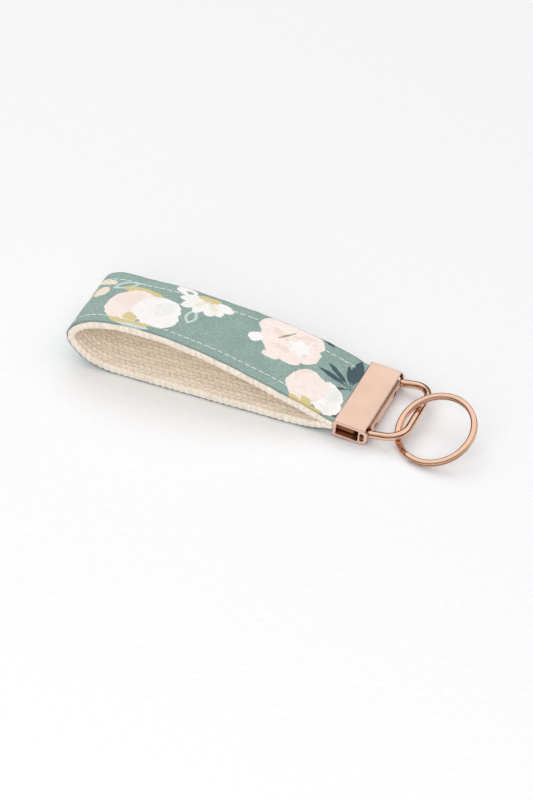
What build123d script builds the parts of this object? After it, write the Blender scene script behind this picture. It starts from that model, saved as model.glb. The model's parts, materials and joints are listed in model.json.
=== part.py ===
from build123d import *
import os
from math import cos, hypot, radians, sin

# Wristlet keychain: a strip of cotton webbing with a printed fabric cover sewn to it,
# folded into a loop whose two ends are gripped by a crimped metal clamp. A wire loop
# pivots in the clamp's spine and a split ring is threaded on the wire loop.
#
# The parts are drawn with X = 0 at the clamp's spine, +X towards the split ring, Y across
# the strap and Z up from the table, then moved so that the origin is the bottom centre of
# the whole object. All sizes are in millimetres.

# ---------------------------------------------------------------- driving dimensions
WEBBING_WIDTH = 31.5
WEBBING_THICK = 2.3
COVER_WIDTH = 30.6
COVER_THICK = 0.5            # two layers of cotton, the long edges folded under
SEAM_OFFSET = 11.3           # each stitched row, from the strap's middle line
THREAD_WIDTH = 0.5
THREAD_THICK = 0.22
SEAM_START = 0.6             # the seams' free stretch stops this far from the clamp
CUT_OVER = 0.03              # how far a cutting tool stands out of the face it cuts

CLAMP_DEPTH = 11.5           # mouth to spine
CLAMP_WIDTH = 32.0
CLAMP_HEIGHT = 6.0
CLAMP_WALL = 1.0
CLAMP_PITCH = 5.8            # degrees: the springy strap lifts the mouth off the table
SPINE_RADIUS = 1.9
MOUTH_RADIUS = 0.5
RIM_ROUNDING = 0.35
LIP_THICK = 1.1
LIP_GAP = 3.4                # slot between the two closed lips
JAW_TAB = 1.6                # end tabs of the lips, which meet beside the strap
JAW_PARTING = 0.08
TOOTH_PITCH = 2.0
TOOTH_DEPTH = 0.25
CHANNEL_WIDTH = 1.5          # along X, for the wire loop's turned-in tips
CHANNEL_HEIGHT = 3.0
WEB_THICK = 0.4              # wall between the channel and the strap cavity
CREASE_RADIUS = 0.22
SLOT_HALF_ANGLE = 45.0       # each way that the spine slots let the wire loop swing
SLOT_CLEARANCE = 0.15
WINDOW_OFFSET = 8.2          # small oval windows beside the slots, from the middle
WINDOW_SIZE = (2.4, 1.5)

INSERTION = 6.4              # length of strap inside the clamp
SQUEEZED = 0.585              # strap thickness in the clamp as a part of its free value
SPREAD = 6.0                 # distance over which the squeezed strap regains thickness
PLY_GAP = 0.1                # between the two squeezed plies
TRIMMED_WIDTH = 28.4         # the strap's ends are cut narrower inside the clamp
SHOULDER_CLEARANCE = 0.15    # from the clamp's end tabs to the cut shoulders

LEG_SPACING = 27.4
WIRE_RADIUS = 1.3
TIP_RADIUS = 0.65            # the wire is drawn down where it enters the clamp
TIP_BEND = 0.9
TIP_LENGTH = 6.0
LOOP_REACH = 12.65           # pivot axis to the far bar's centre
LOOP_CORNER = 6.0
LOOP_LIFT = 8.4

RING_OUTER_RADIUS = 13.1
RING_BAND = 1.9              # radial width of the coiled wire, which is oval
COIL_THICK = 1.05
COIL_GAP = 0.06
RING_CENTRE = (19.4, -6.3)
RING_TILT = 23.4
RING_UPSLOPE = 65.5          # degrees from +X towards +Y
COIL_END = 218.0             # where the upper coil ends, degrees from +X
RAMP_ANGLE = 23.0            # the wire climbs from the lower to the upper coil here
RAMP_MARGIN = 3.0
RAMP_STEPS = 6

UNIT_SPEED = (1, 1)          # end tangents of a spline that runs at one millimetre per unit

# ---------------------------------------------------------------- derived places
CLAMP_MID = CLAMP_HEIGHT / 2
PITCH = radians(CLAMP_PITCH)
SPINE_DROP = SPINE_RADIUS * (cos(PITCH) + sin(PITCH) - 1)
PIVOT_X = -(CLAMP_WALL + CHANNEL_WIDTH / 2)
CAVITY_X = -(CLAMP_WALL + CHANNEL_WIDTH + WEB_THICK)


def from_clamp(x, z):
    """A point of the clamp's own X-Z plane, in the plane of the table."""
    return (x * cos(PITCH) + z * sin(PITCH), z * cos(PITCH) - x * sin(PITCH) - SPINE_DROP)


CLAMP_PLACE = Location((0, 0, -SPINE_DROP)) * Rotation(0, CLAMP_PITCH, 0)
MOUTH_X = from_clamp(-CLAMP_DEPTH, CLAMP_MID)[0]
PLY_CENTRE = (SQUEEZED * WEBBING_THICK + PLY_GAP) / 2
COVER_INSIDE = WEBBING_THICK / 2
COVER_OUTSIDE = COVER_INSIDE + COVER_THICK


# ---------------------------------------------------------------- strap
def strap_centreline():
    """Middle of the webbing: lower clamped end, table, loop end, crest, upper clamped end."""
    low = COVER_OUTSIDE
    inner_x = INSERTION - CLAMP_DEPTH
    lower_end = from_clamp(inner_x, CLAMP_MID - PLY_CENTRE)
    lower_mouth = from_clamp(-CLAMP_DEPTH, CLAMP_MID - PLY_CENTRE)
    upper_mouth = from_clamp(-CLAMP_DEPTH, CLAMP_MID + PLY_CENTRE)
    upper_end = from_clamp(inner_x, CLAMP_MID + PLY_CENTRE)
    drop = [lower_mouth, (-18.5, 2.35), (-28.0, low)]
    lift = [
        (-84.0, low), (-94.5, 3.0), (-100.8, 6.7), (-102.95, 10.8), (-99.2, 14.9), (-90.0, 16.9),
        (-78.0, 17.6), (-62.0, 16.4), (-46.0, 13.9), (-30.0, 10.1), (-19.5, 7.0), upper_mouth,
    ]
    outwards = (-cos(PITCH), sin(PITCH))
    inwards = (cos(PITCH), -sin(PITCH))
    with BuildLine(Plane.XZ) as line:
        Line(lower_end, lower_mouth)
        Spline(*drop, tangents=(outwards, (-1, 0)), tangent_scalars=UNIT_SPEED)
        Line(drop[-1], lift[0])
        Spline(*lift, tangents=((-1, 0), inwards), tangent_scalars=UNIT_SPEED)
        Line(upper_mouth, upper_end)
    return line.edges()


def thickness_factor(x):
    """Part of the free thickness that the strap has at x: squeezed from the clamp's mouth on."""
    way = min(max((MOUTH_X - x) / SPREAD, 0), 1)
    return SQUEEZED + (1 - SQUEEZED) * way * way * (3 - 2 * way)


def offset_run(edge, distance):
    """One run of the centreline moved outwards; straight runs stay straight."""
    straight = edge.geom_type == GeomType.LINE
    count = 2 if straight else max(8, int(edge.length / 2.5))
    points = []
    for i in range(count):
        point = edge @ (i / (count - 1))
        along = edge % (i / (count - 1))
        outwards = Vector(-along.Z, 0, along.X)
        points.append(point + outwards * distance * thickness_factor(point.X))
    if straight:
        return Line(*points)
    return Spline(*points, tangents=(edge % 0, edge % 1), tangent_scalars=UNIT_SPEED)


def strap_layer(runs, inner, outer, width, y=0.0):
    """Closed solid between two offsets of the centreline's runs, WIDTH across, centred on y."""
    inside = [offset_run(edge, inner) for edge in runs]
    outside = [offset_run(edge, outer) for edge in runs]
    start = Line(inside[0] @ 0, outside[0] @ 0)
    end = Line(inside[-1] @ 1, outside[-1] @ 1)
    outline = Face(Wire(inside + [start] + outside + [end]))
    return extrude(Pos(0, y - width / 2, 0) * outline, amount=width, dir=(0, 1, 0))


def seam_runs():
    """The centreline's runs between the two places where a seam stops short of the clamp."""
    lower, table, upper = CENTRELINE[1:-1]
    return [
        lower.trim(SEAM_START / lower.length, 1), table,
        upper.trim(0, 1 - SEAM_START / upper.length),
    ]


def seam_layer(inner, outer, y):
    """Strip as wide as a thread, along one seam."""
    return strap_layer(seam_runs(), inner, outer, THREAD_WIDTH, y)


def trim_in_clamp(layer):
    """Cut the strap narrower where it is inside the clamp."""
    length = 2 * CLAMP_DEPTH
    side_strip = WEBBING_WIDTH
    for side in (-1, 1):
        y = side * (TRIMMED_WIDTH + side_strip) / 2
        block = Box(length, side_strip, 3 * CLAMP_HEIGHT)
        centre_x = length / 2 - CLAMP_DEPTH - SHOULDER_CLEARANCE
        layer = layer - CLAMP_PLACE * Pos(centre_x, y, CLAMP_MID) * block
    return layer


def seam_threads():
    """Needle threads on the cover and bobbin threads inside the loop, for both seams."""
    threads = {}
    for side, y in (("near", -SEAM_OFFSET), ("far", SEAM_OFFSET)):
        needle = seam_layer(COVER_OUTSIDE - THREAD_THICK, COVER_OUTSIDE, y)
        bobbin = seam_layer(-COVER_INSIDE, -COVER_INSIDE + THREAD_THICK, y)
        threads[side + "_needle_thread"] = needle
        threads[side + "_bobbin_thread"] = bobbin
    return threads


def webbing():
    """Woven cotton strap, with a shallow groove that each bobbin thread is pulled into."""
    strap = trim_in_clamp(strap_layer(CENTRELINE, -COVER_INSIDE, COVER_INSIDE, WEBBING_WIDTH))
    for y in (-SEAM_OFFSET, SEAM_OFFSET):
        strap = strap - seam_layer(-COVER_INSIDE - CUT_OVER, -COVER_INSIDE + THREAD_THICK, y)
    return strap


def fabric_cover():
    """Printed cotton strip on the outside of the webbing, grooved by the needle threads."""
    cover = trim_in_clamp(strap_layer(CENTRELINE, COVER_INSIDE, COVER_OUTSIDE, COVER_WIDTH))
    for y in (-SEAM_OFFSET, SEAM_OFFSET):
        cover = cover - seam_layer(COVER_OUTSIDE - THREAD_THICK, COVER_OUTSIDE + CUT_OVER, y)
    return cover


def end_stitching():
    """Row of stitches across both raw ends, hidden in the clamp: visible runs on each face."""
    stitch_length = 2.4
    stitch_pitch = 3.2
    stitch_size = 0.24
    count = 8
    row_x = -CLAMP_DEPTH + 0.6 * INSERTION
    face_offset = PLY_CENTRE + SQUEEZED * COVER_OUTSIDE + stitch_size / 2 + 0.01
    runs = []
    for side in (-1, 1):
        for i in range(count):
            y = (i - (count - 1) / 2) * stitch_pitch
            place = CLAMP_PLACE * Pos(row_x, y, CLAMP_MID + side * face_offset)
            runs.append(place * Box(stitch_size, stitch_length, stitch_size))
    return Compound(children=runs)


# ---------------------------------------------------------------- clamp
def clamp_shell():
    """Stamped shell in its own frame: spine at X = 0, mouth at -CLAMP_DEPTH, closed lips."""
    outer = Pos(-CLAMP_DEPTH / 2, 0, CLAMP_MID) * Box(CLAMP_DEPTH, CLAMP_WIDTH, CLAMP_HEIGHT)
    long_edges = outer.edges().filter_by(Axis.Y).sort_by(Axis.X)
    outer = fillet(long_edges[-2:], SPINE_RADIUS)
    mouth_edges = outer.edges().filter_by(Axis.Y).sort_by(Axis.X)[:2]
    outer = fillet(mouth_edges, MOUTH_RADIUS)
    rims = outer.faces().filter_by(Axis.Y).edges()
    outer = fillet(rims, RIM_ROUNDING)

    cavity_length = CAVITY_X + CLAMP_DEPTH - LIP_THICK
    cavity_height = CLAMP_HEIGHT - 2 * CLAMP_WALL
    cavity = Box(cavity_length, 2 * CLAMP_WIDTH, cavity_height)
    cavity = fillet(cavity.edges().filter_by(Axis.Y), 0.3)
    cavity = Pos(CAVITY_X - cavity_length / 2, 0, CLAMP_MID) * cavity
    channel = Box(CHANNEL_WIDTH, 2 * CLAMP_WIDTH, CHANNEL_HEIGHT)
    channel = fillet(channel.edges().filter_by(Axis.Y), 0.45 * CHANNEL_WIDTH)
    channel = Pos(PIVOT_X, 0, CLAMP_MID) * channel
    return outer - cavity - channel


def mouth_cuts():
    """Slot for the strap between the lips, the lips' teeth and the line where the tabs meet."""
    reach = 2 * LIP_THICK
    place = Pos(-CLAMP_DEPTH, 0, CLAMP_MID)
    slot_width = CLAMP_WIDTH - 2 * JAW_TAB
    cuts = [place * Box(reach * 1.2, slot_width, LIP_GAP)]
    cuts.append(place * Box(reach * 1.2, 2 * CLAMP_WIDTH, JAW_PARTING))
    teeth = int(slot_width / TOOTH_PITCH)
    for side in (-1, 1):
        lip_edge = side * LIP_GAP / 2
        for i in range(teeth):
            y = (i - (teeth - 1) / 2) * TOOTH_PITCH
            notch = Polygon(
                (y - 0.6, lip_edge), (y + 0.6, lip_edge), (y, lip_edge + side * TOOTH_DEPTH),
                align=None,
            )
            cuts.append(place * extrude(Plane.YZ * notch, amount=reach / 2, both=True))
    return cuts


def spine_cuts():
    """Swing slots for the legs, oval windows beside them and the crease under the top plate."""
    half = WIRE_RADIUS + SLOT_CLEARANCE
    across = cos(radians(SLOT_HALF_ANGLE))
    rise = sin(radians(SLOT_HALF_ANGLE))
    far = 2 * (CLAMP_WALL + CHANNEL_WIDTH)
    upper_inner = (-half * rise, half * across)
    upper_outer = (upper_inner[0] + far * across, upper_inner[1] + far * rise)
    lower_outer = (upper_outer[0], -upper_outer[1])
    lower_inner = (upper_inner[0], -upper_inner[1])
    fan = Polygon(upper_inner, upper_outer, lower_outer, lower_inner, align=None)
    fan = Pos(PIVOT_X, 0, CLAMP_MID) * extrude(Plane.XZ * fan, amount=half, both=True)
    window = extrude(Plane.YZ * SlotOverall(*WINDOW_SIZE), amount=CLAMP_WALL, both=True)
    window = Pos(0, 0, CLAMP_MID) * window
    crease_angle = radians(25)
    crease_x = -SPINE_RADIUS + SPINE_RADIUS * cos(crease_angle)
    crease_z = CLAMP_HEIGHT - SPINE_RADIUS + SPINE_RADIUS * sin(crease_angle)
    crease = Cylinder(CREASE_RADIUS, 2 * CLAMP_WIDTH, rotation=(90, 0, 0))
    cuts = [Pos(crease_x, 0, crease_z) * crease]
    for side in (-1, 1):
        cuts.append(Pos(0, side * LEG_SPACING / 2, 0) * fan)
        cuts.append(Pos(0, side * WINDOW_OFFSET, 0) * window)
    return cuts


def crimp_clamp():
    """The finished clamp, pitched so that its spine touches the table."""
    shell = clamp_shell()
    for cut in mouth_cuts() + spine_cuts():
        shell = shell - cut
    return CLAMP_PLACE * shell


# ---------------------------------------------------------------- wire loop and split ring
def pivot_point():
    """Centre of the wire loop's pivot axis, which runs along Y."""
    x, z = from_clamp(PIVOT_X, CLAMP_MID)
    return Vector(x, 0, z)


def bar_point():
    """Centre of the wire loop's far bar, which the split ring swings about."""
    lift = radians(LOOP_LIFT)
    return pivot_point() + Vector(LOOP_REACH * cos(lift), 0, LOOP_REACH * sin(lift))


def wire_loop():
    """D-shaped wire loop: two legs, a bar, and thin tips turned in towards each other."""
    leg_y = LEG_SPACING / 2
    neck_from, neck_to = 0.95, 1.6
    corner_x = LOOP_REACH - LOOP_CORNER
    corner_y = leg_y - LOOP_CORNER
    with BuildLine() as body_line:
        Line((neck_to, -leg_y), (corner_x, -leg_y))
        CenterArc((corner_x, -corner_y), LOOP_CORNER, -90, 90)
        Line((LOOP_REACH, -corner_y), (LOOP_REACH, corner_y))
        CenterArc((corner_x, corner_y), LOOP_CORNER, 0, 90)
        Line((corner_x, leg_y), (neck_to, leg_y))
    body_start = Plane(origin=(neck_to, -leg_y, 0), z_dir=(1, 0, 0))
    loop = sweep(body_start * Circle(WIRE_RADIUS), path=body_line.wire())
    for side in (-1, 1):
        inner_end = (0, side * (leg_y - TIP_LENGTH))
        bend_start = (0, side * (leg_y - TIP_BEND))
        with BuildLine() as tip_line:
            Line(inner_end, bend_start)
            JernArc(bend_start, (0, side), TIP_BEND, -90 * side)
            Line((TIP_BEND, side * leg_y), (neck_from + 0.1, side * leg_y))
        tip_start = Plane(origin=(0, inner_end[1], 0), z_dir=(0, side, 0))
        tip = sweep(tip_start * Circle(TIP_RADIUS), path=tip_line.wire())
        neck = Cone(TIP_RADIUS, WIRE_RADIUS, neck_to - neck_from, rotation=(0, 90, 0))
        neck = Pos((neck_from + neck_to) / 2, side * leg_y, 0) * neck
        loop = loop + tip + neck
    return Location(pivot_point()) * Rotation(0, -LOOP_LIFT, 0) * loop


def ring_plane():
    """Plane of the split ring: its lowest point touches the table."""
    tilt = radians(RING_TILT)
    turn = radians(RING_UPSLOPE)
    level = (COIL_THICK + COIL_GAP) / 2
    drop = hypot(RING_BAND / 2 * sin(tilt), COIL_THICK / 2 * cos(tilt))
    centre_z = (RING_OUTER_RADIUS - RING_BAND / 2) * sin(tilt) + level * cos(tilt) + drop
    upslope = (cos(turn) * cos(tilt), sin(turn) * cos(tilt), sin(tilt))
    normal = (-cos(turn) * sin(tilt), -sin(turn) * sin(tilt), cos(tilt))
    return Plane(origin=(*RING_CENTRE, centre_z), x_dir=upslope, z_dir=normal)


def coil_section(angle, climb):
    """Section of the coiled wire at one angle; climb goes from 0, lower coil, to 1, upper."""
    radius = RING_OUTER_RADIUS - RING_BAND / 2
    level = (COIL_THICK + COIL_GAP) / 2
    across, along = cos(radians(angle)), sin(radians(angle))
    centre = (radius * across, radius * along, level * (2 * climb - 1))
    plane = Plane(origin=centre, x_dir=(across, along, 0), z_dir=(along, -across, 0))
    return plane * Ellipse(RING_BAND / 2, COIL_THICK / 2)


def split_ring():
    """Oval spring wire coiled twice; the wire climbs between the two cut ends."""
    upper_end = COIL_END - RING_UPSLOPE
    ramp_from = upper_end + RAMP_MARGIN
    ramp_to = ramp_from + RAMP_ANGLE
    lower_start = ramp_to + RAMP_MARGIN
    lower_turn = 360 - (lower_start - ramp_from)
    upper_turn = 360 - (ramp_to - upper_end)
    lower_coil = revolve(coil_section(lower_start, 0), Axis.Z, revolution_arc=lower_turn)
    upper_coil = revolve(coil_section(ramp_to, 1), Axis.Z, revolution_arc=upper_turn)
    ways = [i / RAMP_STEPS for i in range(RAMP_STEPS + 1)]
    ramp = loft([
        coil_section(ramp_from + way * RAMP_ANGLE, way * way * (3 - 2 * way)) for way in ways
    ])
    return ring_plane() * (lower_coil + ramp + upper_coil)


# ---------------------------------------------------------------- build and write
CENTRELINE = strap_centreline()
PARTS = {
    "webbing": webbing(),
    "fabric_cover": fabric_cover(),
    "end_stitching": end_stitching(),
    "crimp_clamp": crimp_clamp(),
    "wire_loop": wire_loop(),
    "split_ring": split_ring(),
    **seam_threads(),
}
WHOLE_BOX = Compound(children=[part.moved(Location()) for part in PARTS.values()]).bounding_box()
ORIGIN = Vector(WHOLE_BOX.center().X, WHOLE_BOX.center().Y, WHOLE_BOX.min.Z)

os.makedirs("parts", exist_ok=True)
for name, part in PARTS.items():
    export_step(part.moved(Location(-ORIGIN)), f"parts/{name}.step")

print("strap length along the webbing:", round(sum(edge.length for edge in CENTRELINE), 1))
print("whole object:", WHOLE_BOX.size)
print("loop pivot:", pivot_point() - ORIGIN, "ring pivot:", bar_point() - ORIGIN)
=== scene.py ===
import json
import math

import bpy
import numpy as np
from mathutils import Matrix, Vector


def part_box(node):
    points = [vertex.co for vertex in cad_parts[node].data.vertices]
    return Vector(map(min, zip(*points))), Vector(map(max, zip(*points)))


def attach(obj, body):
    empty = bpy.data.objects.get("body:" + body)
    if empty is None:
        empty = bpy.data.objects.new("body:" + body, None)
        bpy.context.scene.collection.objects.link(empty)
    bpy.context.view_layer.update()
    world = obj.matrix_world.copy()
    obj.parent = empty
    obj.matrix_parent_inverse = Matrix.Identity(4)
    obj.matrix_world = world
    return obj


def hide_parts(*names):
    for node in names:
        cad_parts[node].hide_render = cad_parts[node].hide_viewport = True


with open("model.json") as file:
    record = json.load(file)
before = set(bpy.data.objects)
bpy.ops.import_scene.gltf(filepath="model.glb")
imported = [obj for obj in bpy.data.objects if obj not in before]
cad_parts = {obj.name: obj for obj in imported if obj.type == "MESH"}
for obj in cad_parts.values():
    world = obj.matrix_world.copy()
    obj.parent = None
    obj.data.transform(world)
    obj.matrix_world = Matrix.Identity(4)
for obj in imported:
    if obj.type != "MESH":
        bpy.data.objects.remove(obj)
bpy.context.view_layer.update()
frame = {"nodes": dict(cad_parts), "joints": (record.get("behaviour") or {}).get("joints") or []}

# Wristlet keychain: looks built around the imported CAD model. The strap's sizes are in
# millimetres, measured as in the design: X from the clamp's spine, Y from the strap's middle
# line, Z from the table. place() turns them into metres in the shared frame.
MM = 0.001
SEED = 7

# ---------------------------------------------------------------- strap sizes, as designed
WEBBING_WIDTH = 31.5
WEBBING_THICK = 2.3
COVER_WIDTH = 30.6
COVER_THICK = 0.5
SEAM_OFFSET = 11.3
CLAMP_DEPTH = 11.5
CLAMP_MID = 3.0
CLAMP_PITCH = math.radians(5.8)
SPINE_RADIUS = 1.9
PIVOT_FROM_SPINE = -1.438
INSERTION = 6.4
SQUEEZED = 0.585
SPREAD = 6.0
PLY_GAP = 0.1
TRIMMED_WIDTH = 28.4

COVER_INSIDE = WEBBING_THICK / 2
COVER_OUTSIDE = COVER_INSIDE + COVER_THICK
PLY_CENTRE = (SQUEEZED * WEBBING_THICK + PLY_GAP) / 2
SPINE_DROP = SPINE_RADIUS * (math.cos(CLAMP_PITCH) + math.sin(CLAMP_PITCH) - 1)

# how the real strap differs from the plain CAD solid: its upper ply is twisted a little
TWIST_LIFT = 2.2             # the near edge rises by this at the crest, the far edge drops
TWIST_RAMP = (12.0, 60.0)    # distances from the clamp's mouth, along the upper ply
TWIST_FADE = (75.0, 98.0)
END_YAW = 0.8                # the far side of the loop's end reaches this much further out
YAW_RAMP = (70, 95)
YAW_FADE = (98, 118)
SPLINE_STEPS = 120           # points to each span of the strap's route
ROUTE_STEP = 0.1

JOINTS = {joint["name"]: joint for joint in frame["joints"]}
PIVOT = Vector(JOINTS["loop_swing"]["pos_m"])
DATUM = np.array([PIVOT.x - PIVOT_FROM_SPINE * MM, PIVOT.y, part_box("fabric_cover")[0][2]])


def smooth(value, low, high):
    """0 below LOW, 1 above HIGH and a smooth step between."""
    way = np.clip((value - low) / (high - low), 0, 1)
    return way * way * (3 - 2 * way)


# ---------------------------------------------------------------- strap route
def from_clamp(x, z):
    """A point of the pitched clamp's own X-Z plane, as (x, z) above the table."""
    across, along = math.cos(CLAMP_PITCH), math.sin(CLAMP_PITCH)
    return (x * across + z * along, z * across - x * along - SPINE_DROP)


def spline_run(points, start, end):
    """Points on the cubic spline through POINTS that leaves along START and ends along END."""
    points = np.array(points, float)
    spans = np.linalg.norm(np.diff(points, axis=0), axis=1)
    size = len(points)
    system = np.zeros((size, size))
    right = np.zeros((size, 2))
    system[0, 0] = system[-1, -1] = 1
    right[0], right[-1] = start, end
    for i in range(1, size - 1):
        before, after = spans[i - 1], spans[i]
        system[i, i - 1:i + 2] = after, 2 * (before + after), before
        slope_before = (points[i] - points[i - 1]) / before
        slope_after = (points[i + 1] - points[i]) / after
        right[i] = 3 * (after * slope_before + before * slope_after)
    slopes = np.linalg.solve(system, right)
    run = []
    for i, span in enumerate(spans):
        way = np.linspace(0, 1, SPLINE_STEPS, endpoint=False)[:, None]
        run.append(
            points[i] * (1 + 2 * way) * (1 - way) ** 2
            + points[i + 1] * way ** 2 * (3 - 2 * way)
            + span * slopes[i] * way * (1 - way) ** 2
            - span * slopes[i + 1] * way ** 2 * (1 - way)
        )
    return np.vstack(run)


def strap_route():
    """Distance along the webbing's middle, its points and its outward normals."""
    low = COVER_OUTSIDE
    inner_x = INSERTION - CLAMP_DEPTH
    lower_end = from_clamp(inner_x, CLAMP_MID - PLY_CENTRE)
    lower_mouth = from_clamp(-CLAMP_DEPTH, CLAMP_MID - PLY_CENTRE)
    upper_mouth = from_clamp(-CLAMP_DEPTH, CLAMP_MID + PLY_CENTRE)
    upper_end = from_clamp(inner_x, CLAMP_MID + PLY_CENTRE)
    drop = [lower_mouth, (-18.5, 2.35), (-28.0, low)]
    lift = [
        (-84.0, low), (-94.5, 3.0), (-100.8, 6.7), (-102.95, 10.8), (-99.2, 14.9), (-90.0, 16.9),
        (-78.0, 17.6), (-62.0, 16.4), (-46.0, 13.9), (-30.0, 10.1), (-19.5, 7.0), upper_mouth,
    ]
    across, along = math.cos(CLAMP_PITCH), math.sin(CLAMP_PITCH)
    points = np.vstack([
        [lower_end], spline_run(drop, (-across, along), (-1, 0)),
        spline_run(lift, (-1, 0), (across, -along)), [upper_mouth], [upper_end],
    ])
    steps = np.linalg.norm(np.diff(points, axis=0), axis=1)
    distance = np.concatenate([[0], np.cumsum(steps)])
    even = np.arange(0, distance[-1], ROUTE_STEP)
    points = np.column_stack([np.interp(even, distance, points[:, k]) for k in (0, 1)])
    along = np.gradient(points, even, axis=0)
    along /= np.linalg.norm(along, axis=1)[:, None]
    return even, points, np.column_stack([-along[:, 1], along[:, 0]])


ROUTE_U, ROUTE_POINTS, ROUTE_NORMALS = strap_route()
STRAP_LENGTH = ROUTE_U[-1]
UPPER_MOUTH = STRAP_LENGTH - INSERTION


def place(u, v, w):
    """Metres in the shared frame of points U along, V across and W out of the webbing's middle."""
    x = np.interp(u, ROUTE_U, ROUTE_POINTS[:, 0])
    z = np.interp(u, ROUTE_U, ROUTE_POINTS[:, 1])
    out_x = np.interp(u, ROUTE_U, ROUTE_NORMALS[:, 0])
    out_z = np.interp(u, ROUTE_U, ROUTE_NORMALS[:, 1])
    mouth_x = from_clamp(-CLAMP_DEPTH, CLAMP_MID)[0]
    thickness = SQUEEZED + (1 - SQUEEZED) * smooth(mouth_x - x, 0, SPREAD)
    from_mouth = UPPER_MOUTH - u
    side = -v / (COVER_WIDTH / 2)
    twist = smooth(from_mouth, *TWIST_RAMP) * (1 - smooth(from_mouth, *TWIST_FADE))
    yaw = smooth(from_mouth, *YAW_RAMP) * (1 - smooth(from_mouth, *YAW_FADE))
    x = x + w * thickness * out_x + END_YAW * side * yaw
    z = z + w * thickness * out_z + TWIST_LIFT * side * twist
    return np.stack([x * MM + DATUM[0], v * MM + DATUM[1], z * MM + DATUM[2]], axis=-1)


# ---------------------------------------------------------------- mesh building
def new_object(name, points, faces, cloth_map=None, attributes=None):
    """A smooth-shaded mesh object; CLOTH_MAP gives each vertex its (along, across) in mm."""
    mesh = bpy.data.meshes.new(name)
    mesh.from_pydata(points.tolist(), [], faces)
    mesh.update()
    mesh.polygons.foreach_set("use_smooth", [True] * len(mesh.polygons))
    if cloth_map is not None:
        corner_vertex = np.zeros(len(mesh.loops), int)
        mesh.loops.foreach_get("vertex_index", corner_vertex)
        layer = mesh.uv_layers.new(name="cloth_mm")
        layer.data.foreach_set("uv", cloth_map[corner_vertex].astype(np.float32).ravel())
    for key, values in (attributes or {}).items():
        attribute = mesh.attributes.new(key, "FLOAT", "POINT")
        attribute.data.foreach_set("value", values.astype(np.float32).ravel())
    piece = bpy.data.objects.new(name, mesh)
    bpy.context.scene.collection.objects.link(piece)
    return piece


def swept_grid(rows, columns):
    """Quads of a closed tube of ROWS sections with COLUMNS points each, and its two caps."""
    row, column = np.meshgrid(np.arange(rows - 1), np.arange(columns), indexing="ij")
    after = (column + 1) % columns
    quads = np.stack([
        row * columns + column, (row + 1) * columns + column,
        (row + 1) * columns + after, row * columns + after,
    ], axis=-1).reshape(-1, 4)
    first = list(range(columns))
    last = [(rows - 1) * columns + k for k in reversed(range(columns))]
    return quads.tolist() + [first, last]


def strip_section(width, inner, outer, edge_bulge, inner_count, outer_count, edge_count=9):
    """Closed section of a flat strip, as (v, w) points with their outward directions."""
    half = width / 2 - edge_bulge
    middle, half_thick = (inner + outer) / 2, (outer - inner) / 2
    inner_v = np.linspace(-half, half, inner_count)
    outer_v = np.linspace(half, -half, outer_count)
    turn = np.linspace(-math.pi / 2, math.pi / 2, edge_count + 2)[1:-1]
    v = np.concatenate([
        inner_v, half + edge_bulge * np.cos(turn), outer_v, -half - edge_bulge * np.cos(turn),
    ])
    w = np.concatenate([
        np.full(inner_count, inner), middle + half_thick * np.sin(turn),
        np.full(outer_count, outer), middle - half_thick * np.sin(turn),
    ])
    out_v = np.concatenate([
        np.zeros(inner_count), np.cos(turn), np.zeros(outer_count), -np.cos(turn),
    ])
    out_w = np.concatenate([
        -np.ones(inner_count), np.sin(turn), np.ones(outer_count), -np.sin(turn),
    ])
    return v, w, out_v, out_w


def swept_strip(name, section, step, relief):
    """The section carried along the whole strap; RELIEF(u, v, out_v, out_w) moves it outwards."""
    v, w, out_v, out_w = section
    rows = int(STRAP_LENGTH / step) + 1
    u = np.linspace(0, STRAP_LENGTH, rows)[:, None]
    v, w, out_v, out_w = (np.broadcast_to(part, (rows, len(part))) for part in (v, w, out_v, out_w))
    u = np.broadcast_to(u, v.shape)
    height = relief(u, v, out_v, out_w)
    raised = np.clip(height / FLOAT_HEIGHT + FLOAT_SINK, 0, 1.2)
    levels = {"relief": raised, "edge": np.abs(out_v) ** 0.5}
    in_clamp = 1 - smooth(np.minimum(u, STRAP_LENGTH - u), INSERTION - 0.2, INSERTION + 0.4)
    narrow = 1 - in_clamp * (1 - TRIMMED_WIDTH / WEBBING_WIDTH)
    points = place(u, (v + height * out_v) * narrow, w + height * out_w)
    cloth = np.stack([UPPER_MOUTH - u, v], axis=-1).reshape(-1, 2)
    return new_object(name, points.reshape(-1, 3), swept_grid(rows, v.shape[1]), cloth, levels)


# ---------------------------------------------------------------- webbing
RIB_PITCH = 1.75             # across the webbing
FLOAT_PITCH = 2.25           # along it: each rib is a row of yarn floats
FLOAT_HEIGHT = 0.46
FLOAT_SINK = 0.6             # share of that height which lies under the plain strip's face
FLOAT_SLANT = 0.42
FIBRES = 2600
FIBRE_WIDTH = 0.045
FIBRE_ROOT = 0.25            # depth in the edge at which a fibre starts


def near_clamp(u):
    """1 along the free strap, falling to 0 where the clamp squeezes it."""
    return smooth(np.minimum(u, STRAP_LENGTH - u), INSERTION + 0.3, INSERTION + 6)


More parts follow.
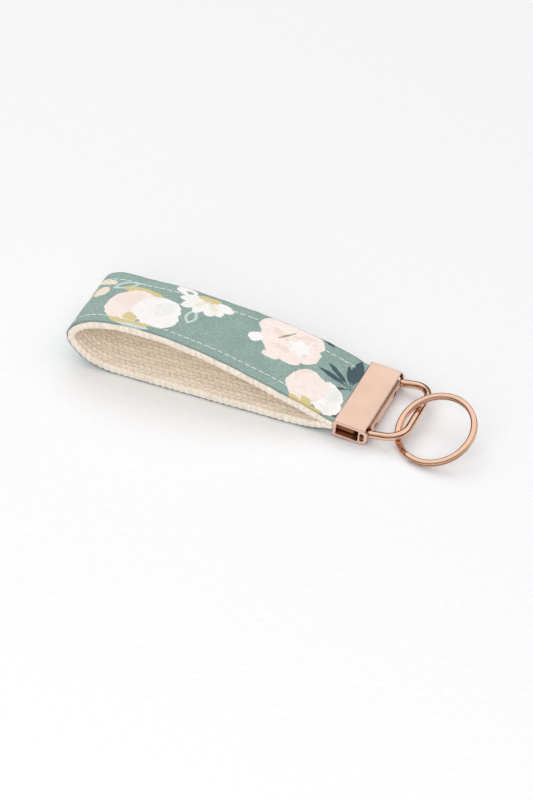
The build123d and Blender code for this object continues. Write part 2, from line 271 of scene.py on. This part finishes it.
def webbing_relief(u, v, out_v, out_w):
    """Staggered rows of bulging floats on the inner face, and weft turns along the edges."""
    rib = np.floor(v / RIB_PITCH)
    across = (v / RIB_PITCH - rib - 0.5) * 2
    slant = FLOAT_SLANT * np.where(rib % 2 == 0, 1, -1)
    along = u / FLOAT_PITCH + 0.5 * (rib % 2) + slant * across / 2
    wander = 0.06 * np.sin(0.37 * u + 1.9 * rib) + 0.05 * np.sin(1.13 * u + 0.7 * rib)
    phase = (along + wander) % 1 * 2 - 1
    round_float = np.sqrt(np.clip(1 - np.abs(phase) ** 2.4, 0, 1))
    round_rib = np.sqrt(np.clip(1 - np.abs(across) ** 2.6, 0, 1))
    uneven = 1 + 0.18 * np.sin(2.1 * rib + 0.9 * np.floor(along + wander))
    floats = FLOAT_HEIGHT * (uneven * (0.60 * round_float + 0.40 * round_rib) - FLOAT_SINK)
    lean = u / FLOAT_PITCH + 0.16 * out_w + 0.10 * np.sin(0.41 * u)
    lumps = 0.16 * np.sin(3.1 * u + 2.0 * out_w) + 0.12 * np.sin(7.3 * u - 3.0 * out_w)
    turns = 0.85 * (np.abs(np.cos(math.pi * lean)) - 0.6) + lumps
    inner = np.clip(-out_w, 0, 1) ** 2
    edge = out_v ** 2
    return (floats * inner + turns * edge) * near_clamp(u)


def make_webbing():
    section = strip_section(WEBBING_WIDTH, -COVER_INSIDE, COVER_INSIDE, 0.55, 150, 12)
    return swept_strip("webbing_strap", section, 0.28, webbing_relief)


def make_fuzz():
    """Loose cotton fibres along both edges, each a short bent sliver standing out of the weave."""
    chance = np.random.default_rng(SEED)
    side = np.where(np.arange(FIBRES) % 2 == 0, -1.0, 1.0)[:, None]
    u = chance.uniform(INSERTION + 1.5, STRAP_LENGTH - INSERTION - 1.5, FIBRES)[:, None]
    w = chance.uniform(-1.0, 1.0, FIBRES)[:, None] * COVER_INSIDE
    out = WEBBING_WIDTH / 2 - 0.28 * (np.abs(w) / COVER_INSIDE) ** 3
    lean_u, bend_u = chance.normal(0, 0.5, (2, FIBRES, 1))
    lean_w, bend_w = chance.normal(0, 0.22, (2, FIBRES, 1))
    length = chance.uniform(0.25, 0.75, FIBRES)[:, None]
    way = np.array([[0.0, 0.0, 0.55, 0.55, 1.0]])
    half = FIBRE_WIDTH / 2 * np.array([[-1.0, 1.0, -0.8, 0.8, 0.0]])
    u = u + lean_u * way + bend_u * way**2 + half
    w = w + lean_w * way + bend_w * way**2 + 0.6 * half
    v = side * (out - FIBRE_ROOT + (length + FIBRE_ROOT) * way * (1 - 0.25 * way))
    corners = np.array([[0, 1, 3], [0, 3, 2], [2, 3, 4]])
    fibre_points = way.size
    faces = (np.arange(FIBRES)[:, None, None] * fibre_points + corners).reshape(-1, 3).tolist()
    cloth = np.stack([UPPER_MOUTH - u, v], axis=-1).reshape(-1, 2)
    whole = {name: np.ones(FIBRES * fibre_points) for name in ("relief", "edge")}
    return new_object("webbing_fuzz", place(u, v, w).reshape(-1, 3), faces, cloth, whole)


# ---------------------------------------------------------------- fabric cover
STITCH_PITCH = 2.33
COVER_LIFT = 0.02            # the cover's clearance from the webbing under it


def seam_line(u, side):
    """Where a seam runs across the strap: nearly straight, as a hand-guided seam is."""
    return side * SEAM_OFFSET + 0.18 * np.sin(0.09 * u + side) + 0.08 * np.sin(0.31 * u + 2 * side)


def cover_relief(u, v, out_v, out_w):
    """Grooves under the seams, puckers beside them, a folded edge and slight unevenness."""
    outer = np.clip(out_w, 0, 1)
    height = 0.05 * np.sin(0.21 * u + 0.35 * v) * np.sin(0.13 * u - 0.22 * v)
    for side in (-1, 1):
        away = v - seam_line(u, side)
        pull = 0.75 + 0.25 * np.cos(2 * math.pi * u / STITCH_PITCH)
        height = height - 0.24 * pull * np.exp(-(away / 0.55) ** 2)
        pucker = np.sin(2 * math.pi * u / (2 * STITCH_PITCH) + 0.8 * np.sin(0.17 * u))
        height = height + 0.05 * pucker * np.exp(-(away / 2.2) ** 2)
    edge_wave = 0.10 * np.sin(0.53 * u + 0.4) + 0.07 * np.sin(1.21 * u)
    return (height * outer + edge_wave * out_v ** 2) * near_clamp(u)


def make_cover():
    section = strip_section(COVER_WIDTH, COVER_INSIDE + COVER_LIFT, COVER_OUTSIDE, 0.22, 12, 110, 5)
    return swept_strip("printed_cover", section, 0.4, cover_relief)


# ---------------------------------------------------------------- stitches
STITCH_LENGTH = 2.1          # with the ends that sink into the cloth
STITCH_MARGIN = 1.6          # from the clamp's mouth to the first stitch
STITCH_RISE = 0.34           # how far a stitch's middle stands above its ends
STITCH_SINK = 0.31           # how deep its ends lie
SEAM_DEPTH = 0.1             # the needle rows lie this far below the cover's flat face
THREAD_RADIUS = 0.15
THREAD_SIDES = 10
THREAD_ROWS = 13


def stitch_row(name, side, face, out):
    """All the stitches of one seam on one face; FACE is the surface's w, and OUT is 1 or -1."""
    first = INSERTION + STITCH_MARGIN
    last = STRAP_LENGTH - INSERTION - STITCH_MARGIN
    count = int((last - first) / STITCH_PITCH)
    way = np.linspace(0, 1, THREAD_ROWS)[:, None]
    turn = np.arange(THREAD_SIDES)[None, :] * 2 * math.pi / THREAD_SIDES
    one_stitch = swept_grid(THREAD_ROWS, THREAD_SIDES)
    points, faces, cloth = [], [], []
    for k in range(count):
        start = first + k * STITCH_PITCH + 0.12 * math.sin(2.3 * k + side)
        length = STITCH_LENGTH + 0.15 * math.sin(1.7 * k + 2 * side)
        u = start + way * length
        bow = np.sin(math.pi * way) ** 0.5
        radius = THREAD_RADIUS * (1 + 0.16 * np.cos(2 * (turn - 5 * way))) * (0.55 + 0.45 * bow)
        slant = 0.14 * (way - 0.5)
        v = seam_line(u, side) + slant + radius * np.cos(turn)
        w = face + out * (STITCH_RISE * bow - STITCH_SINK) + radius * np.sin(turn)
        u = np.broadcast_to(u, v.shape)
        base = len(points) * THREAD_ROWS * THREAD_SIDES
        points.append(place(u, v, w).reshape(-1, 3))
        cloth.append(np.stack([UPPER_MOUTH - u, v], axis=-1).reshape(-1, 2))
        faces += [[base + corner for corner in corners] for corners in one_stitch]
    return new_object(name, np.vstack(points), faces, np.vstack(cloth))


# ---------------------------------------------------------------- shader helpers
def linear(red, green, blue):
    """Scene colour of a display colour given as 0 to 255."""
    values = []
    for value in (red, green, blue):
        value /= 255
        values.append(value / 12.92 if value <= 0.04045 else ((value + 0.055) / 1.055) ** 2.4)
    return (*values, 1)


def node(tree, kind, inputs=None, **settings):
    """A shader node with its settings, its input values and its links made."""
    made = tree.nodes.new("ShaderNode" + kind)
    for name, value in settings.items():
        setattr(made, name, value)
    for key, value in (inputs or {}).items():
        if isinstance(value, bpy.types.NodeSocket):
            tree.links.new(value, made.inputs[key])
        else:
            made.inputs[key].default_value = value
    return made


def calc(tree, operation, *values):
    return node(tree, "Math", dict(enumerate(values)), operation=operation).outputs[0]


def ramp(tree, value, low, high, to_low=0.0, to_high=1.0):
    """VALUE from LOW to HIGH, smoothly mapped to TO_LOW to TO_HIGH."""
    inputs = {"Value": value, "From Min": low, "From Max": high, "To Min": to_low, "To Max": to_high}
    return node(tree, "MapRange", inputs, interpolation_type="SMOOTHSTEP").outputs[0]


def mixed(tree, factor, first, second, blend="MIX"):
    inputs = {0: factor, 6: first, 7: second}
    return node(tree, "Mix", inputs, data_type="RGBA", blend_type=blend).outputs[2]


def noise(tree, coordinates, scale, detail=2.0, stretch=(1, 1, 1)):
    """Noise from 0 to 1, with SCALE features to the unit and stretched along an axis."""
    placed = node(tree, "Mapping", {"Vector": coordinates, "Scale": stretch}).outputs[0]
    inputs = {"Vector": placed, "Scale": scale, "Detail": detail, "Roughness": 0.55}
    return node(tree, "TexNoise", inputs).outputs[0]


def bump(tree, height, distance):
    inputs = {"Height": height, "Distance": distance, "Strength": 1.0}
    return node(tree, "Bump", inputs).outputs[0]


def grey(tree, value):
    """The colour whose three parts are VALUE."""
    return node(tree, "CombineXYZ", {0: value, 1: value, 2: value}).outputs[0]


def new_material(name):
    material = bpy.data.materials.new(name)
    material.use_nodes = True
    tree = material.node_tree
    return material, tree, tree.nodes["Principled BSDF"]


def dress(piece, material):
    piece.data.materials.clear()
    piece.data.materials.append(material)


# ---------------------------------------------------------------- printed cotton
SAGE = linear(154, 176, 169)
SAGE_DARK = linear(143, 166, 159)
SAGE_DEEP = linear(122, 148, 142)
BLUSH = linear(243, 229, 222)
BLUSH_DEEP = linear(234, 210, 199)
WHITE = linear(243, 240, 238)
CREAM = linear(236, 224, 205)
MUSTARD = linear(214, 198, 142)
OLIVE = linear(150, 152, 120)
MIST = linear(204, 219, 215)
SLATE = linear(68, 91, 96)
CLAMP_SHADE_BROWN = linear(140, 84, 52)    # painted shade: the dark brown of the cloth in the clamp's shadow
PETAL_EDGE = 0.65            # millimetres by which a painted edge wanders
LEAF_EDGE = 0.35
PAINT_BLUR = 0.14            # about half the width over which a painted edge fades
THREAD_PITCH = 0.45          # of the cover's own fine weave


class Print:
    """The painted colours of the cloth, laid one over another."""

    def __init__(self, tree, cloth, ground):
        self.tree = tree
        self.colour = ground
        self.cloth = node(tree, "SeparateXYZ", {0: cloth}).outputs
        self.wander = calc(tree, "SUBTRACT", noise(tree, cloth, 0.30, 2.5), 0.5)

    def local(self, centre, size, turn):
        """Coordinates from CENTRE in half sizes, along and across a line turned by TURN."""
        cos, sin = math.cos(math.radians(turn)), math.sin(math.radians(turn))
        axes = []
        for (along, across), half in zip(((cos, sin), (-sin, cos)), size):
            start = -(along * centre[0] + across * centre[1]) / half
            first = calc(self.tree, "MULTIPLY_ADD", self.cloth[0], along / half, start)
            axes.append(calc(self.tree, "MULTIPLY_ADD", self.cloth[1], across / half, first))
        return axes

    def mask(self, level, size, edge):
        """1 where LEVEL is under 1, with an edge that wanders by EDGE millimetres."""
        least = min(size)
        ragged = calc(self.tree, "MULTIPLY_ADD", self.wander, 3.0 * edge / least, level)
        blur = PAINT_BLUR / least
        return ramp(self.tree, ragged, 1 - blur, 1 + blur, 1.0, 0.0)

    def lay(self, mask, colour, strength=1.0):
        if strength < 1:
            mask = calc(self.tree, "MULTIPLY", mask, strength)
        self.colour = mixed(self.tree, mask, self.colour, colour)

    def petal(self, centre, size, colour, turn=0, strength=1.0):
        """A rounded dab of paint."""
        x, y = self.local(centre, size, turn)
        square = calc(self.tree, "MULTIPLY_ADD", x, x, calc(self.tree, "MULTIPLY", y, y))
        level = calc(self.tree, "SQRT", square)
        self.lay(self.mask(level, size, min(PETAL_EDGE, 0.5 * min(size))), colour, strength)

    def leaf_mask(self, start, end, half_width):
        """1 inside a leaf with its points at START and END."""
        along = (end[0] - start[0], end[1] - start[1])
        size = (math.hypot(*along) / 2, half_width)
        centre = ((start[0] + end[0]) / 2, (start[1] + end[1]) / 2)
        x, y = self.local(centre, size, math.degrees(math.atan2(along[1], along[0])))
        level = calc(self.tree, "MULTIPLY_ADD", x, x, calc(self.tree, "ABSOLUTE", y))
        return self.mask(level, size, min(LEAF_EDGE, 0.5 * half_width))

    def leaf(self, start, end, half_width, colour):
        """A pointed leaf or brush stroke from START to END."""
        self.lay(self.leaf_mask(start, end, half_width), colour)

    def outline_leaf(self, start, end, half_width, colour):
        """A leaf drawn as a line round a clear middle."""
        middle = ((start[0] + end[0]) / 2, (start[1] + end[1]) / 2)
        inner = [tuple(m + 0.62 * (p - m) for p, m in zip(point, middle)) for point in (start, end)]
        outer = self.leaf_mask(start, end, half_width)
        hollow = calc(self.tree, "SUBTRACT", 1.0, self.leaf_mask(*inner, 0.52 * half_width))
        self.lay(calc(self.tree, "MULTIPLY", outer, hollow), colour, 0.85)


def away(centre, reach, angle):
    """The point at REACH from CENTRE, in the direction ANGLE in degrees."""
    turn = math.radians(angle)
    return (centre[0] + reach * math.cos(turn), centre[1] + reach * math.sin(turn))


def paint_peony(cloth_print, s, v, size, turned=1, crowned=True):
    """A round bloom, blush on one side and white on the other, in a mustard calyx."""
    def at(across, along):
        return (s + turned * across * size, v + along * size)

    if crowned:
        cloth_print.petal(at(0.62, 0.92), (0.44 * size, 0.16 * size), MUSTARD, -12 * turned)
        cloth_print.petal(at(0.05, 0.84), (0.40 * size, 0.16 * size), MUSTARD, 20 * turned)
    cloth_print.petal(at(0.48, 0.02), (0.70 * size, 0.90 * size), BLUSH, 12 * turned)
    cloth_print.petal(at(0.30, -0.40), (0.62 * size, 0.52 * size), BLUSH, 30 * turned)
    cloth_print.petal(at(0.62, 0.35), (0.42 * size, 0.45 * size), BLUSH_DEEP, 30, strength=0.35)
    cloth_print.petal(at(-0.44, 0.04), (0.74 * size, 0.74 * size), WHITE, -14 * turned)
    cloth_print.petal(at(-0.66, -0.34), (0.62 * size, 0.60 * size), WHITE, 20 * turned)
    cloth_print.petal(at(-0.62, 0.18), (0.34 * size, 0.42 * size), MIST, 20, strength=0.22)
    cloth_print.petal(at(0.42, -0.98), (0.36 * size, 0.14 * size), MUSTARD, 14 * turned)
    cloth_print.petal(at(0.12, -0.72), (0.30 * size, 0.20 * size), MUSTARD, 40 * turned)
    cloth_print.petal(at(-0.30, -0.98), (0.40 * size, 0.11 * size), MUSTARD, -8 * turned)


def paint_blossom(cloth_print, s, v, size):
    """Half an open flower: a fan of white petals below a mustard heart."""
    fan = [(196, 1.05), (222, 0.95), (250, 0.85), (282, 0.95), (312, 1.1), (340, 1.0)]
    for angle, reach in fan:
        centre = away((s, v), 0.62 * size * reach, angle)
        cloth_print.petal(centre, (0.50 * size, 0.27 * size), WHITE, angle)
    for angle in (230, 300):
        centre = away((s, v), 0.45 * size, angle)
        cloth_print.petal(centre, (0.34 * size, 0.12 * size), CREAM, angle, strength=0.8)
    cloth_print.petal((s, v + 0.08 * size), (0.50 * size, 0.17 * size), MUSTARD, -4)


def paint_ruffle(cloth_print, s, v, size):
    """A full ruffled bloom: overlapping blush lobes round a pale middle."""
    lobes = [
        (0.62, 0.50, 0.42, 0.34), (0.18, 0.62, 0.50, 0.36), (-0.42, 0.44, 0.54, 0.44),
        (-0.62, 0.02, 0.36, 0.46), (0.42, 0.05, 0.42, 0.40), (0.02, -0.32, 0.52, 0.34),
        (-0.30, -0.42, 0.32, 0.28), (0.22, -0.66, 0.22, 0.16), (-0.08, 0.08, 0.60, 0.50),
    ]
    for across, along, wide, high in lobes:
        cloth_print.petal((s + across * size, v + along * size), (wide * size, high * size), BLUSH)
    folds = [(0.30, 0.30, 35), (-0.35, 0.55, -20), (-0.52, 0.10, 75), (0.10, -0.20, 10)]
    for across, along, turn in folds:
        centre = (s + across * size, v + along * size)
        cloth_print.petal(centre, (0.30 * size, 0.10 * size), BLUSH_DEEP, turn, strength=0.55)
    heart = (s - 0.36 * size, v + 0.10 * size)
    for turn in (15, 75, 135):
        start, end = (away(heart, sign * 0.34 * size, turn) for sign in (-1, 1))
        cloth_print.leaf(start, end, 0.17 * size, WHITE)


def paint_sprig(cloth_print, s, v, size, turn=0):
    """A spray of narrow dark leaves from one stem."""
    spray = [
        (8, 1.0, 0.075), (28, 0.95, 0.070), (62, 0.78, 0.085), (82, 1.08, 0.17), (-34, 0.55, 0.055),
    ]
    for angle, reach, half_width in spray:
        tip = away((s, v), reach * size, angle + turn)
        base = away((s, v), 0.16 * size, angle + turn)
        cloth_print.leaf(base, tip, half_width * size, SLATE)
        cloth_print.leaf((s, v), tip, 0.02 * size, SLATE)


def paint_cloth(cloth_print):
    """Flowers along the strap; s is counted from the clamp on the upper ply, v across it."""
    paint_sprig(cloth_print, 1.0, 1.2, 13.0)
    cloth_print.petal((1.8, -11.8), (2.2, 1.8), SLATE, 20)
    paint_peony(cloth_print, 10.4, -7.2, 8.0, crowned=False)
    cloth_print.petal((11.8, -6.4), (5.4, 5.6), BLUSH, 10)
    cloth_print.leaf((27.6, 15.6), (24.0, 13.6), 0.5, SLATE)
    cloth_print.leaf((17.5, 15.8), (12.5, 14.2), 0.8, SLATE)
    paint_ruffle(cloth_print, 26.0, 5.6, 11.5)
    cloth_print.leaf((29.8, 6.6), (25.6, 12.6), 0.45, OLIVE)
    cloth_print.petal((35.9, 3.4), (2.2, 2.7), WHITE, 30)
    cloth_print.outline_leaf((56.6, -4.2), (57.8, 4.6), 2.0, MIST)
    paint_blossom(cloth_print, 56.0, 12.0, 8.4)
    cloth_print.petal((64.6, 13.4), (4.2, 2.0), WHITE, 12)
    cloth_print.petal((63.4, 12.8), (1.5, 0.8), SAGE, 10)
    cloth_print.outline_leaf((87.0, 5.2), (79.6, 11.6), 1.9, MIST)
    cloth_print.leaf((78.0, -13.6), (65.0, -14.2), 1.9, MIST)
    paint_peony(cloth_print, 72.6, -2.4, 10.4)
    cloth_print.petal((91.0, 9.8), (4.2, 1.6), CREAM, 20)
    cloth_print.petal((89.9, 3.4), (2.6, 2.9), CREAM, 0)
    cloth_print.petal((94.3, 6.6), (2.4, 1.4), MUSTARD, 40, strength=0.5)
    cloth_print.petal((95.2, 1.0), (2.4, 3.0), CREAM, 10)
    for s, v, size in ((112, 3, 8.5), (168, -4, 9.0)):
        paint_ruffle(cloth_print, s, v, size)
    paint_peony(cloth_print, 138, -3, 9.0, turned=-1)
    paint_sprig(cloth_print, 122, -9, 11, turn=30)
    paint_sprig(cloth_print, 152, 2, 12, turn=200)
    paint_blossom(cloth_print, 126, 12, 8.0)
    paint_blossom(cloth_print, 182, 11, 8.0)


def clamp_shadow(tree, along):
    """0 where either end of the strap is inside the clamp, 1 elsewhere."""
    from_mouth = calc(tree, "MINIMUM", along, calc(tree, "SUBTRACT", UPPER_MOUTH - INSERTION, along))
    return ramp(tree, from_mouth, -1.2, 0.3)


def printed_cotton():
    material, tree, shader = new_material("printed_cotton")
    cloth = node(tree, "UVMap", uv_map="cloth_mm").outputs[0]
    ground = mixed(tree, ramp(tree, noise(tree, cloth, 0.12, 3.0), 0.3, 0.7), SAGE_DARK, SAGE)
    lengthwise = noise(tree, cloth, 2.0, 1.5, (0.40, 1, 1))
    crosswise = noise(tree, cloth, 2.0, 1.5, (1, 0.40, 1))
    grain = calc(tree, "ADD", lengthwise, crosswise)
    ground = mixed(tree, ramp(tree, grain, 0.75, 1.25), mixed(tree, 0.5, ground, SAGE_DEEP), ground)
    cloth_print = Print(tree, cloth, ground)
    paint_cloth(cloth_print)
    grain_shade = ramp(tree, grain, 0.75, 1.25, 0.95, 1.03)
    wash_shade = ramp(tree, noise(tree, cloth, 0.30, 4.0), 0.3, 0.7, 0.98, 1.02)
    parts = node(tree, "SeparateXYZ", {0: cloth})
    # painted shade: the cover is darker towards its folded edges
    folded = ramp(tree, calc(tree, "ABSOLUTE", parts.outputs[1]), 14.5, 15.2, 1.0, 0.72)
    shade = calc(tree, "MULTIPLY", calc(tree, "MULTIPLY", grain_shade, wash_shade), folded)
    colour = mixed(tree, 1.0, cloth_print.colour, grey(tree, shade), "MULTIPLY")
    # painted shade: the cover takes the brown of the clamp's shadow where it lies inside the clamp
    colour = mixed(tree, clamp_shadow(tree, parts.outputs[0]), CLAMP_SHADE_BROWN, colour)
    tree.links.new(colour, shader.inputs["Base Color"])

    threads = 2 * math.pi / THREAD_PITCH
    warp = calc(tree, "SINE", calc(tree, "MULTIPLY", parts.outputs[0], threads))
    weft = calc(tree, "SINE", calc(tree, "MULTIPLY", parts.outputs[1], threads))
    weave = calc(tree, "MULTIPLY", warp, weft)
    height = calc(tree, "MULTIPLY_ADD", weave, 0.25, grain)
    tree.links.new(bump(tree, height, 0.00003), shader.inputs["Normal"])
    tree.links.new(ramp(tree, grain, 0.7, 1.3, 0.95, 0.80), shader.inputs["Roughness"])
    shader.inputs["Sheen Weight"].default_value = 0.15
    shader.inputs["Sheen Roughness"].default_value = 0.5
    shader.inputs["Specular IOR Level"].default_value = 0.25
    return material


# ---------------------------------------------------------------- webbing and thread
YARN = linear(247, 235, 219)
# painted shade in the pits between the yarns
YARN_PIT_SHADE = linear(186, 152, 118)
YARN_EDGE = linear(234, 224, 211)
YARN_SPECK = linear(140, 112, 84)


def webbing_cotton():
    """Natural cotton: paler where the yarns stand out, with painted shade, brown, in the pits
    between them.
    """
    material, tree, shader = new_material("webbing_cotton")
    cloth = node(tree, "UVMap", uv_map="cloth_mm").outputs[0]
    relief = node(tree, "Attribute", attribute_name="relief").outputs["Fac"]
    edge = node(tree, "Attribute", attribute_name="edge").outputs["Fac"]
    # painted shade: the colour darkens from the raised floats down into the pits
    colour = mixed(tree, ramp(tree, relief, 0.12, 0.78), YARN_PIT_SHADE, YARN)
    colour = mixed(tree, edge, colour, YARN_EDGE)
    fibres = noise(tree, cloth, 2.6, 3.0, (0.5, 1, 1))
    patches = noise(tree, cloth, 0.25, 2.0)
    shade = ramp(tree, calc(tree, "MULTIPLY_ADD", patches, 0.6, fibres), 0.5, 1.1, 0.93, 1.08)
    along = node(tree, "SeparateXYZ", {0: cloth}).outputs[0]
    colour = mixed(tree, 1.0, colour, grey(tree, shade), "MULTIPLY")
    specks = ramp(tree, noise(tree, cloth, 1.7, 0.0), 0.80, 0.84)
    colour = mixed(tree, calc(tree, "MULTIPLY", specks, 0.5), colour, YARN_SPECK)
    # painted shade: the webbing takes the brown of the clamp's shadow where it lies inside the clamp
    colour = mixed(tree, clamp_shadow(tree, along), CLAMP_SHADE_BROWN, colour)
    tree.links.new(colour, shader.inputs["Base Color"])
    tree.links.new(bump(tree, fibres, 0.00012), shader.inputs["Normal"])
    tree.links.new(ramp(tree, fibres, 0.3, 0.7, 1.0, 0.85), shader.inputs["Roughness"])
    shader.inputs["Sheen Weight"].default_value = 0.2
    shader.inputs["Sheen Roughness"].default_value = 0.6
    shader.inputs["Specular IOR Level"].default_value = 0.2
    return material


def sewing_thread(name, dark, light):
    """Sewing thread, slightly glossy, with fine uneven strands."""
    material, tree, shader = new_material(name)
    position = node(tree, "TexCoord").outputs["Object"]
    strands = noise(tree, position, 2500, 2.0, (0.5, 1, 1))
    colour = mixed(tree, strands, dark, light)
    tree.links.new(colour, shader.inputs["Base Color"])
    tree.links.new(bump(tree, strands, 0.00003), shader.inputs["Normal"])
    tree.links.new(ramp(tree, strands, 0.3, 0.7, 0.6, 0.45), shader.inputs["Roughness"])
    shader.inputs["Sheen Weight"].default_value = 0.1
    return material


# ---------------------------------------------------------------- rose gold
def rose_gold(name, colour, roughness, grain_stretch, grain_height):
    """Rose gold plating with a faint grain, cloudy gloss and colour, and painted shade, darker and
    redder, in its hollows.
    """
    material, tree, shader = new_material(name)
    position = node(tree, "TexCoord").outputs["Object"]
    grain = noise(tree, position, 4500, 2.0, grain_stretch)
    clouds = noise(tree, position, 90, 2.0)
    deeper = (colour[0] * 0.97, colour[1] * 0.95, colour[2] * 0.94, 1)
    plated = mixed(tree, ramp(tree, clouds, 0.35, 0.75), colour, deeper)
    # painted shade: hollows found by ambient occlusion are darkened and reddened
    openness = node(tree, "AmbientOcclusion", {"Distance": 0.004}, samples=8).outputs["AO"]
    hollow = (colour[0] * 0.62, colour[1] * 0.36, colour[2] * 0.24, 1)
    plated = mixed(tree, ramp(tree, openness, 0.05, 0.55), hollow, plated)
    tree.links.new(plated, shader.inputs["Base Color"])
    gloss = calc(tree, "ADD", calc(tree, "MULTIPLY", grain, 0.4), clouds)
    tree.links.new(
        ramp(tree, gloss, 0.4, 1.0, 0.92 * roughness, 1.10 * roughness), shader.inputs["Roughness"]
    )
    tree.links.new(bump(tree, grain, grain_height), shader.inputs["Normal"])
    shader.inputs["Metallic"].default_value = 1.0
    return material


# ---------------------------------------------------------------- build the pieces
webbing = make_webbing()
cover = make_cover()
fuzz = make_fuzz()
natural_cotton = webbing_cotton()
dress(webbing, natural_cotton)
dress(fuzz, natural_cotton)
dress(cover, printed_cotton())
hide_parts("webbing")
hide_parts("fabric_cover")
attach(webbing, "strap")
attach(cover, "strap")
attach(fuzz, "strap")

white_thread = sewing_thread("white_thread", linear(228, 230, 226), linear(250, 250, 247))
natural_thread = sewing_thread("natural_thread", linear(205, 188, 166), linear(232, 218, 199))
for side, side_name in ((-1, "near"), (1, "far")):
    needle = stitch_row(side_name + "_needle_stitches", side, COVER_OUTSIDE - SEAM_DEPTH, 1)
    bobbin = stitch_row(side_name + "_bobbin_stitches", side, -COVER_INSIDE, -1)
    for piece, kind, thread in (
        (needle, "_needle_thread", white_thread), (bobbin, "_bobbin_thread", natural_thread)
    ):
        dress(piece, thread)
        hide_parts(side_name + kind)
        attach(piece, "strap")

rose_satin = rose_gold("rose_gold_satin", (0.90, 0.64, 0.51, 1), 0.32, (1, 0.3, 1), 0.000010)
rose_polished = rose_gold("rose_gold_polished", (0.83, 0.53, 0.39, 1), 0.13, (1, 1, 1), 0.000003)
dress(frame["nodes"]["crimp_clamp"], rose_satin)
dress(frame["nodes"]["wire_loop"], rose_polished)
dress(frame["nodes"]["split_ring"], rose_polished)
dress(frame["nodes"]["end_stitching"], white_thread)


# ---------------------------------------------------------------- stage, light and camera
FLOOR_REACH = 12.0                     # metres: its end shows in views from about 10 degrees
FLOOR_GAP = 0.00005
CAMERA_AZIMUTH = math.radians(23.671)
CAMERA_ELEVATION = math.radians(39.756)
CAMERA_DISTANCE = 0.7924
CAMERA_AIM = (-37.108, -7.681, 0)      # millimetres, from the design's own origin
LENS = 112.49
LAMPS = [
    ("key", 3.2, 0.9, (-0.45, 0.75, 1.0)),
    ("fill", 9.3, 1.1, (0.10, -1.05, 0.62)),
]


def make_floor():
    reach, level = FLOOR_REACH, DATUM[2] - FLOOR_GAP
    corners = np.array([(x, y, level) for x, y in (
        (-reach, -reach), (reach, -reach), (reach, reach), (-reach, reach)
    )])
    floor = new_object("table_top", corners, [[0, 1, 2, 3]])
    material, tree, shader = new_material("pale_table")
    position = node(tree, "TexCoord").outputs["Object"]
    fibres = noise(tree, position, 420, 3.0)
    colour = mixed(tree, fibres, (0.835, 0.835, 0.84, 1), (0.865, 0.865, 0.87, 1))
    tree.links.new(colour, shader.inputs["Base Color"])
    tree.links.new(bump(tree, fibres, 0.0002), shader.inputs["Normal"])
    shader.inputs["Roughness"].default_value = 0.9
    dress(floor, material)


def make_light():
    """A white studio: bright overhead, dim near the horizon, with a soft key and a front fill."""
    world = bpy.data.worlds.new("studio")
    bpy.context.scene.world = world
    world.use_nodes = True
    tree = world.node_tree
    direction = node(tree, "TexCoord").outputs["Generated"]
    ways = node(tree, "SeparateXYZ", {0: direction}).outputs
    overhead = ramp(tree, ways[2], 0.34, 0.66, 0.02, 0.98)
    window = ramp(tree, calc(tree, "MULTIPLY_ADD", ways[1], 0.8, ways[2]), 0.30, 0.75)
    shade = calc(tree, "MULTIPLY", overhead, calc(tree, "MULTIPLY_ADD", window, 0.55, 0.62))
    glow = ramp(tree, ways[1], -0.6, -0.95, 0.0, 0.5)
    front = calc(tree, "MULTIPLY", glow, ramp(tree, ways[2], 0.24, 0.42))
    shade = calc(tree, "MAXIMUM", shade, front)
    tree.links.new(grey(tree, shade), tree.nodes["Background"].inputs["Color"])
    tree.nodes["Background"].inputs["Strength"].default_value = 1.0
    for name, power, size, location in LAMPS:
        lamp = bpy.data.lights.new(name, "AREA")
        lamp.energy = power
        lamp.size = size
        source = bpy.data.objects.new(name, lamp)
        bpy.context.scene.collection.objects.link(source)
        source.location = location
        source.rotation_euler = (-source.location).to_track_quat("-Z", "Y").to_euler()
        source.visible_glossy = False


def make_camera():
    """The main view: a long lens, from the strap's near right and well above."""
    aim = Vector(DATUM.tolist()) + Vector(CAMERA_AIM) * MM
    level = math.cos(CAMERA_ELEVATION)
    back = Vector((
        math.sin(CAMERA_AZIMUTH) * level, -math.cos(CAMERA_AZIMUTH) * level,
        math.sin(CAMERA_ELEVATION),
    ))
    data = bpy.data.cameras.new("camera")
    data.lens = LENS
    data.sensor_width = 36
    camera = bpy.data.objects.new("camera", data)
    bpy.context.scene.collection.objects.link(camera)
    camera.location = aim + CAMERA_DISTANCE * back
    camera.rotation_euler = (-back).to_track_quat("-Z", "Y").to_euler()
    bpy.context.scene.camera = camera


make_floor()
make_light()
make_camera()
bpy.context.scene.view_settings.view_transform = "Standard"
